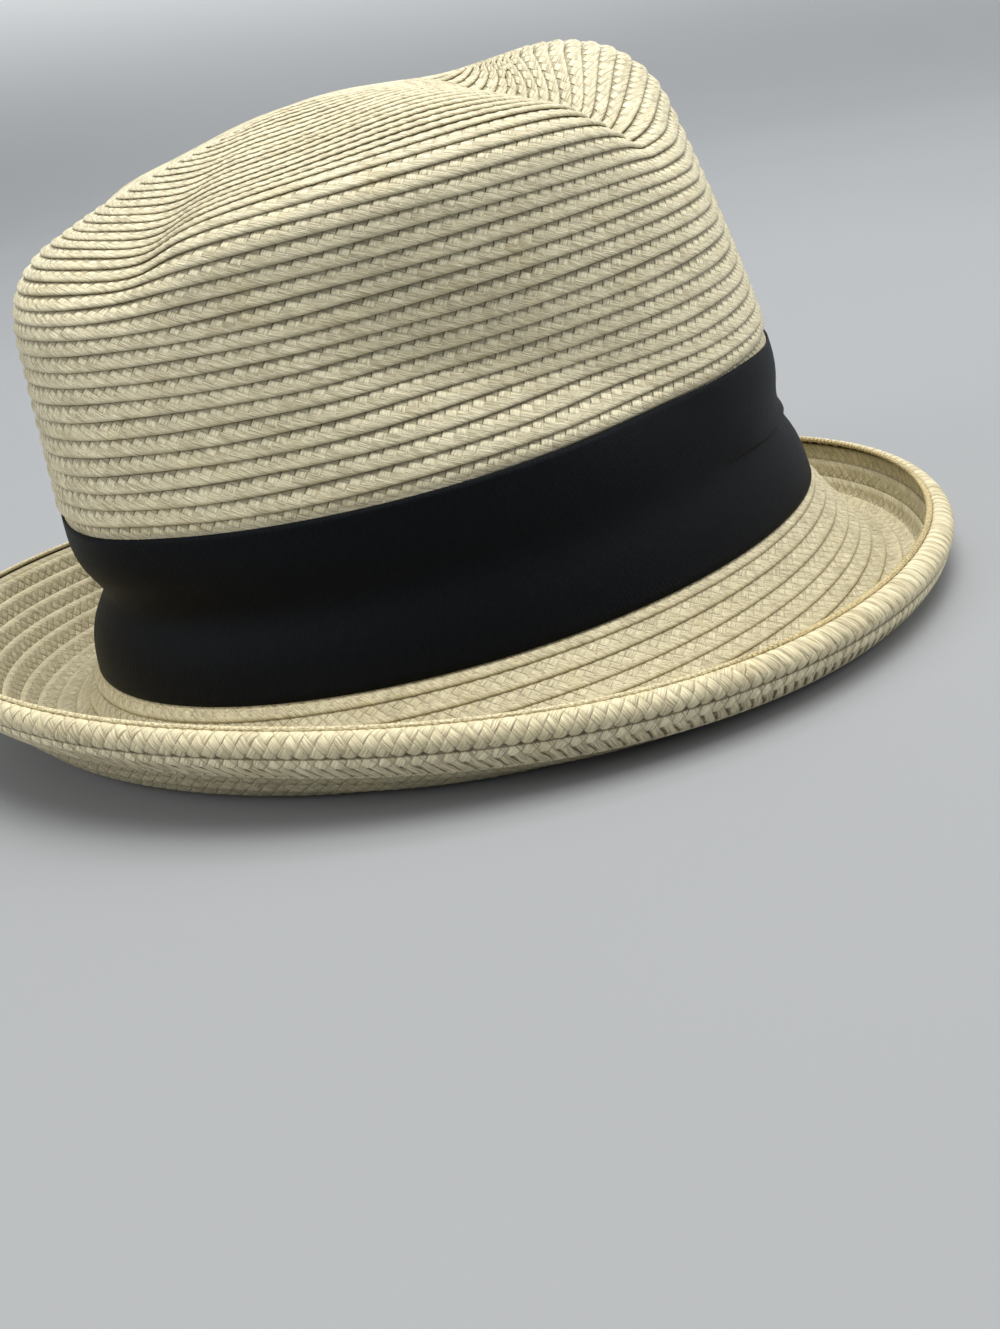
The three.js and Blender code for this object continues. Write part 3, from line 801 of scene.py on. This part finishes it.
def ribbon_material(name, colour, rib):
    """Ribbed ribbon: fine ribs across its width, with a dull shine on their tops: a dull specular shine, and
    a painted sheen where the ribs' tops are painted paler.
    """
    material, g, shader = new_material(name)
    along, up = g.braid_map()
    part = g.math("FRACT", g.math("DIVIDE", along, rib))
    ridge = g.math("SINE", g.times(part, math.pi))
    slub = g.noise(g.vector(g.times(along, 2.2), g.times(up, 0.35)), 1.0, 3.0)
    weave = g.noise(g.vector(along, g.times(up, 6.0)), 1.0, 1.0)
    height = g.plus(g.times(ridge, 0.7), g.math("MULTIPLY_ADD", slub, 0.8, weave))
    g.feed(shader.inputs["Normal"], g.bump(height, 0.00012, 0.8))
    dark = tuple(c * 0.6 for c in colour[:3]) + (1,)
    light = tuple(c * 1.9 for c in colour[:3]) + (1,)
    # painted sheen: the ribs' tops are painted paler, unevenly where the yarn is slubby
    shade = g.blend(g.times(ridge, g.step(slub, 0.3, 0.75)), dark, light)
    lint = g.noise(g.spot(), 900.0, 1.0)
    shade = g.blend(g.step(lint, 0.76, 0.82, 0.0, 0.2), shade, LINT_COLOUR)
    g.feed(shader.inputs["Base Color"], shade)
    shader.inputs["Roughness"].default_value = 0.5
    shader.inputs["Specular IOR Level"].default_value = 0.12
    shader.inputs["Specular Tint"].default_value = RIBBON_SHINE
    return material


# ---- Settings --------------------------------------------------------------------------------------------
def millimetres(name, description, default, least, most):
    """A setting for a length in millimetres."""
    return bpy.props.FloatProperty(name=name, description=description + ", in mm", default=default,
                                   min=least, max=most)


def colour_setting(name, description, default):
    """A setting for a colour with its alpha."""
    return bpy.props.FloatVectorProperty(name=name, description=description, subtype="COLOR", size=4,
                                         default=default, min=0, max=1)


class TrilbySizes(bpy.types.PropertyGroup):
    """Sizes of the braid and the ribbon."""

    row_pitch_mm: millimetres("Row pitch", "Height of a braid row that its neighbour leaves showing",
                              4.31, 2, 8)
    plait_pitch_mm: millimetres("Plait pitch", "Distance between crossings along the braid", 3.48, 1, 8)
    plait_height_mm: millimetres("Plait height", "Distance between crossings across the braid", 2.8, 1, 8)
    crown_rows: bpy.props.FloatProperty(
        name="Crown rows", description="Rows from the foot of the crown to the seam of its tip",
        default=45.096, min=10, max=90)
    brim_rows: bpy.props.IntProperty(
        name="Brim rows", description="Rows from the foot of the crown to the rim", default=11, min=4, max=20)
    first_row_mm: millimetres("First row", "Free edge of the brim's first row outside the crown's foot",
                              1.2, 0, 5)
    rib_pitch_mm: millimetres("Rib pitch", "Distance between the ribs of the ribbon", 0.62, 0.2, 3)


class TrilbyColours(bpy.types.PropertyGroup):
    """Colours of the straw and the ribbon."""

    straw_low: colour_setting("Straw, dark fibres", "Colour of the darkest fibres", (0.36, 0.31, 0.197, 1))
    straw_middle: colour_setting("Straw", "Main colour of the straw", (0.62, 0.563, 0.387, 1))
    straw_high: colour_setting("Straw, pale fibres", "Colour of the palest fibres", (0.83, 0.769, 0.548, 1))
    ribbon: colour_setting("Ribbon", "Colour of the ribbon", (0.0012, 0.0013, 0.0021, 1))
    backdrop: colour_setting("Backdrop", "Colour of the floor and the backdrop", (0.29, 0.298, 0.308, 1))


def settings():
    """The scene's sizes and colours for this hat."""
    return bpy.context.scene.trilby_sizes, bpy.context.scene.trilby_colours


def straw_colours():
    """The straw's dark, main and pale colours."""
    colours = settings()[1]
    return tuple(colours.straw_low), tuple(colours.straw_middle), tuple(colours.straw_high)


def tinted(tint):
    """The straw's colours, each part of them times the tint's."""
    return tuple(tuple(min(c * t, 1.0) for c, t in zip(colour, tint)) for colour in straw_colours())


def rim_face():
    """The brim's upper face near its rim, with rows in millimetres past the rim."""
    def points_at(angles, rows):
        return brim_points(angles, lambda width: width + rows[None, :])

    return Face(points_at, -14, 3, 0.25, True)


# ---- Pieces ----------------------------------------------------------------------------------------------
class AddCrownBraid(bpy.types.Operator):
    """Winds the sewn braid of the crown, from the seam of the tip to the foot"""

    bl_idname = "trilby.add_crown_braid"
    bl_label = "Crown braid"

    def execute(self, context):
        sizes, _ = settings()
        count, pitch = sizes.crown_rows, sizes.row_pitch_mm

        def points_at(angles, rows):
            return crown_points(angles, rows, count, pitch)

        face = Face(points_at, 0, count, 0.125, False)
        material = straw_material("straw crown", straw_colours(), slits=(0.85, 0.25, 0.4, 0.0, 0.15, 0.3),
                                  row_shade=((0.5, 0.16, 0.6), (-1.12, 0.09, 0.35)), roll=ROW_ROLL,
                                  contrast=1.2, hollow=(0.0, 0.3, 0.34))

        def row_of(tau):
            """The row of the free edge, which wavers a little."""
            ripple = 0.05 * np.sin(tau * 2 * math.pi * 3.1 + 1.3) + 0.035 * np.sin(tau * 2 * math.pi * 7.3)
            return np.clip(count - tau + ripple, 0.02, count - 0.02)

        def sink_of(tau):
            return ROW_SINK * np.clip(tau - count + 1, 0, 1)

        # from here on the ribbon hides the rows, and they are coarser
        hidden = count - RIBBON_HEIGHT / pitch + 0.4
        cuts = ((0.15, 21, FINE_STEP), (21, 29.5, FINE_STEP), (29.5, hidden, FINE_STEP),
                (hidden, count + 1, COARSE_STEP))

        def thin_of(tau):
            """The rows are flattest on the back of the top."""
            front = 1 - ease(from_front(tau * 360), 70, 130)
            return TOP_THIN + (CROWN_THIN - TOP_THIN) * np.maximum(ease(tau, 12, 22), front)

        pieces = braid_pieces("crown_braid", face, (0, count + 1), row_of, sink_of, thin_of,
                              outside=CROWN_OUTSIDE, inside=CROWN_INSIDE, relief=CROWN_RELIEF, cuts=cuts,
                              direction=1, slant=CROWN_SLANT, material=material)
        for piece in pieces:
            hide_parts("crown")
        return {"FINISHED"}


class AddBrimBraid(bpy.types.Operator):
    """Winds the sewn braid of the brim, from the foot of the crown to the rim"""

    bl_idname = "trilby.add_brim_braid"
    bl_label = "Brim braid"

    def execute(self, context):
        sizes, _ = settings()
        count = sizes.brim_rows
        first = sizes.first_row_mm

        def points_at(angles, rows):
            return brim_points(angles, lambda width: first + (width - first) * rows[None, :] / count)

        face = Face(points_at, -2, count + 0.5, 0.125, True)
        material = straw_material("straw brim", tinted(BRIM_TINT), slits=(0.4, 0.1, 0.35, 0.35, 0.05, 0.05),
                                  row_shade=((0.62, 0.26, 0.35),), roll=ROW_ROLL, facet=0.05)

        def row_of(tau):
            ripple = 0.04 * np.sin(tau * 2 * math.pi * 2.3 + 0.4)
            return np.clip(tau + ripple, 0, count - 0.1)

        def sink_of(tau):
            return ROW_SINK * np.clip(-tau, 0, 1) + RIM_SINK * np.clip(tau - count, 0, 1)

        def thin_of(tau):
            return np.full_like(tau, BRIM_THIN)

        cuts = ((-1, 6, FINE_STEP), (6, count + 1, FINE_STEP))
        pieces = braid_pieces("brim_braid", face, (-1, count + 1), row_of, sink_of, thin_of,
                              outside=BRIM_OUTSIDE, inside=BRIM_INSIDE, relief=BRIM_RELIEF, cuts=cuts,
                              direction=-1, slant=0, material=material)
        for piece in pieces:
            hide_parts("brim")
        return {"FINISHED"}


class AddRim(bpy.types.Operator):
    """Sweeps the rolled row over the rim, the row under it and the thin cord inside the roll"""

    bl_idname = "trilby.add_rim"
    bl_label = "Rim"

    def execute(self, context):
        face = rim_face()
        straw = straw_material("straw rim", tinted(ROLL_TINT), slits=(0.45, 0.08, 0.1, 0.1, 0.14, 0.1),
                               row_shade=((1.38, 0.1, 0.55),), facet=0.05, bump=0.00026,
                               hollow=(0.8, 1.05, 0.9), strands=(-1.0, 0.72, -0.035, -0.015),
                               rope_gap=(0.35, 0.3))
        roll = ring_piece("rim_roll", face, ROLL_SECTION, RIM_PITCH, (-0.35, 1.75, ROLL_SEAM), RIM_RELIEF,
                          straw, per_pitch=6, strands=(-0.6, 0.8, 0.1, 0.3))
        # painted light: the row under the roll gets a paler copy of the straw, against the roll's shade
        coarse = straw_material("straw rim second row", tinted(SECOND_ROW_PAINTED_LIGHT),
                                slits=(0.35, 0.6, 0.25, 0.2, 0.2, 0.1),
                                row_shade=((1.25, 0.1, 0.35), (-0.33, 0.1, 0.7)), facet=0.25, bump=0.00035,
                                strands=(0.2, 1.0, 1.0, 2.0), rope_gap=(0.8, 0.38))
        second = ring_piece("rim_second_row", face, SECOND_SECTION, RIM_PITCH, (-0.4, 1.75, SECOND_SEAM),
                            RIM_RELIEF, coarse, per_pitch=6, strands=(0.1, 1.05, 0.55, 0.55), wider=False)
        cord = cord_material("straw edge cord", tinted(CORD_TINT))
        turn = np.arange(LIP_SIDES) * 2 * math.pi / LIP_SIDES
        section = tuple((LIP_CENTRE + LIP_RADIUS * math.cos(t), LIP_RADIUS * math.sin(t)) for t in turn)
        lip = ring_piece("rim_cord", face, section, LIP_PITCH, (0, 1, LIP_SIDES - 1), 0.0, cord, per_pitch=2)
        for piece in (roll, second, lip):
            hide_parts("brim_edge")
        return {"FINISHED"}


class AddRibbon(bpy.types.Operator):
    """Lays the ribbon round the foot of the crown"""

    bl_idname = "trilby.add_ribbon"
    bl_label = "Ribbon"

    def execute(self, context):
        sizes, colours = settings()
        count, pitch = sizes.crown_rows, sizes.row_pitch_mm

        def points_at(angles, rows):
            return crown_points(angles, rows / pitch, count, pitch)

        face = Face(points_at, 0, RIBBON_HEIGHT + 3, 0.5, False)
        angles = np.arange(RIBBON_START, RIBBON_START + 360 + RIBBON_LAP, 1.0)
        heights = np.concatenate([np.linspace(*stretch) for stretch in RIBBON_LINES])
        up = np.concatenate([heights, heights[::-1]])
        apart = from_front(angles)
        lower = RIBBON_DIP * (1 - ease(apart, *DIP_REACH))
        up = up[None, :] * (1 - lower / RIBBON_HEIGHT)[:, None]
        is_outer = np.arange(up.shape[1]) < len(heights)
        lapped = ease(angles, RIBBON_START + 356, RIBBON_START + 360)
        off = np.where(is_outer, RIBBON_OFF, RIBBON_OFF - RIBBON_SHEET)[None, :] + LAP_RISE * lapped[:, None]
        above = up - (TUCK_HEIGHT + TUCK_RISE * (apart - TUCK_ANGLE))[:, None]
        tucked = (ease(apart, *TUCK_BEGINS) * (1 - ease(apart, *TUCK_ENDS)))[:, None]
        off = off + TUCK_DEPTH * tucked * ease(above, *TUCK_EDGE) * (1 - ease(above, *TUCK_FADE))
        points, normals = face.at(np.repeat(angles[:, None], up.shape[1], 1), up)
        points = points + normals * off[..., None]
        middle_line = points[:, np.searchsorted(heights, MIDDLE_HEIGHT)]
        run = np.concatenate([[0], np.cumsum(np.linalg.norm(np.diff(middle_line, axis=0), axis=1))])
        uvs = np.stack(np.broadcast_arrays(run[:, None], np.hstack([up, up[:, :1]])), -1)
        material = ribbon_material("ribbon cloth", tuple(colours.ribbon), sizes.rib_pitch_mm)
        ribbon = tube_piece("ribbon", points, uvs, False, material)
        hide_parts("hat_band")
        return {"FINISHED"}


# ---- Stage -----------------------------------------------------------------------------------------------
CAMERA_PLACE = (-0.43862, 0.14494, 0.16942)
CAMERA_TURN = (68.007, 8.373, -112.577)   # degrees about X, Y and Z
CAMERA_LENS = 46.65
# The floor's sheet starts behind the camera, and sweeps up into a backdrop that is painted paler from its
# foot on: painted light.
FLOOR_SIZE, FLOOR_BACK, SWEEP_START, SWEEP_RADIUS = 12, 3.5, 1.3, 1.4
PALER_FROM, PALER_TO, PALER_TIMES, PALEST = 0.02, 0.45, 3.3, 0.97
WORLD_COLOUR, WORLD_STRENGTH = (0.92, 0.96, 1.0, 1), 0.36
HAT_MIDDLE, BACKDROP_SPOT = (0, 0, 0.06), (1.8, -0.9, 0.6)
LIGHTS = (
    # name, place, target, side, power, colour
    ("key light", (-0.33, -0.02, 1.49), HAT_MIDDLE, 0.9, 22.6, (1, 0.985, 0.955)),
    ("back side light", (-0.3, 1.5, 0.9), HAT_MIDDLE, 0.9, 10, (1, 0.99, 0.97)),
    ("front side light", (-0.5, -1.5, 0.8), HAT_MIDDLE, 0.9, 9, (1, 0.99, 0.97)),
    ("backdrop light", (0.6, -0.4, 1.9), BACKDROP_SPOT, 1.5, 30, (0.97, 0.99, 1)),
)


def area_light(name, place, target, side, power, colour):
    """A square light that shines from a place to a target."""
    data = bpy.data.lights.new(name, "AREA")
    data.shape = "RECTANGLE"
    data.size = data.size_y = side
    data.energy = power
    data.color = colour
    light = bpy.data.objects.new(name, data)
    light.location = place
    light.rotation_mode = "QUATERNION"
    light.rotation_quaternion = (Vector(target) - Vector(place)).to_track_quat("-Z", "Y")
    bpy.context.scene.collection.objects.link(light)


class AddStage(bpy.types.Operator):
    """Adds the floor, the soft lights and the camera"""

    bl_idname = "trilby.add_stage"
    bl_label = "Stage"

    def execute(self, context):
        _, colours = settings()
        turn = Euler([math.radians(angle) for angle in CAMERA_TURN]).to_matrix()
        for item in list(context.selected_objects):
            item.select_set(False)
        bpy.ops.mesh.primitive_grid_add(x_subdivisions=96, y_subdivisions=8, size=FLOOR_SIZE,
                                        location=(0, 0, 0))
        floor = context.active_object
        floor.name = "floor"
        way = Vector((-turn.col[0].y, turn.col[0].x, 0)).normalized()
        side = Vector((way.y, -way.x, 0))
        for point in floor.data.vertices:
            out, across = point.co.x + FLOOR_BACK, point.co.y
            rise = max(out - SWEEP_START, 0)
            bend = min(rise / SWEEP_RADIUS, math.pi / 2)
            flat = min(out, SWEEP_START) + SWEEP_RADIUS * math.sin(bend)
            up = SWEEP_RADIUS * (1 - math.cos(bend)) + max(rise - SWEEP_RADIUS * math.pi / 2, 0)
            point.co = way * flat + side * across + Vector((0, 0, up))
        floor.data.shade_smooth()
        material, g, shader = new_material("floor")
        shader.inputs["Roughness"].default_value = 0.9
        shader.inputs["Specular IOR Level"].default_value = 0.2
        spot = g.spot()
        grain = g.noise(spot, 3.0, 2.0)
        backdrop = tuple(colours.backdrop)
        darker = tuple(c * 0.97 for c in backdrop[:3]) + (1,)
        shade = g.blend(g.step(grain, 0.3, 0.7), darker, backdrop)
        # painted light: the backdrop is painted paler as it rises from the floor
        paler = tuple(min(c * PALER_TIMES, PALEST) for c in backdrop[:3]) + (1,)
        rising = g.step(g.split(spot)[2], PALER_FROM, PALER_TO)
        g.feed(shader.inputs["Base Color"], g.blend(rising, shade, paler))
        floor.data.materials.append(material)
        floor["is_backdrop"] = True

        world = bpy.data.worlds.new("studio")
        context.scene.world = world
        world.use_nodes = True
        back = world.node_tree.nodes["Background"]
        back.inputs["Color"].default_value = WORLD_COLOUR
        back.inputs["Strength"].default_value = WORLD_STRENGTH

        for light in LIGHTS:
            area_light(*light)

        data = bpy.data.cameras.new("camera")
        data.sensor_width = 36
        data.sensor_fit = "AUTO"
        data.lens = CAMERA_LENS
        data.clip_start, data.clip_end = 0.01, 60
        camera = bpy.data.objects.new("camera", data)
        camera.matrix_world = Matrix.Translation(CAMERA_PLACE) @ turn.to_4x4()
        context.scene.collection.objects.link(camera)
        context.scene.camera = camera
        context.scene.view_settings.view_transform = "Standard"
        return {"FINISHED"}


class TrilbyPanel(bpy.types.Panel):
    """Lists the trilby's sizes, colours and pieces"""

    bl_label = "Straw trilby"
    bl_idname = "VIEW3D_PT_trilby"
    bl_space_type = "VIEW_3D"
    bl_region_type = "UI"
    bl_category = "Trilby"

    def draw(self, context):
        column = self.layout.column(align=True)
        for group in (context.scene.trilby_sizes, context.scene.trilby_colours):
            for name in group.bl_rna.properties.keys():
                if name not in ("rna_type", "name"):
                    column.prop(group, name)
        for operator in OPERATORS:
            self.layout.operator(operator.bl_idname)


OPERATORS = (AddCrownBraid, AddBrimBraid, AddRim, AddRibbon, AddStage)
CLASSES = (TrilbySizes, TrilbyColours) + OPERATORS + (TrilbyPanel,)


def register():
    for item in CLASSES:
        bpy.utils.register_class(item)
    bpy.types.Scene.trilby_sizes = bpy.props.PointerProperty(type=TrilbySizes)
    bpy.types.Scene.trilby_colours = bpy.props.PointerProperty(type=TrilbyColours)


def unregister():
    del bpy.types.Scene.trilby_colours
    del bpy.types.Scene.trilby_sizes
    for item in reversed(CLASSES):
        bpy.utils.unregister_class(item)


def main():
    register()
    bpy.ops.trilby.add_crown_braid()
    bpy.ops.trilby.add_brim_braid()
    bpy.ops.trilby.add_rim()
    bpy.ops.trilby.add_ribbon()
    bpy.ops.trilby.add_stage()
    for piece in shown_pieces():
        print(piece.name, sum(len(p.vertices) - 2 for p in piece.data.polygons), "triangles")


if __name__ == "__main__":
    main()
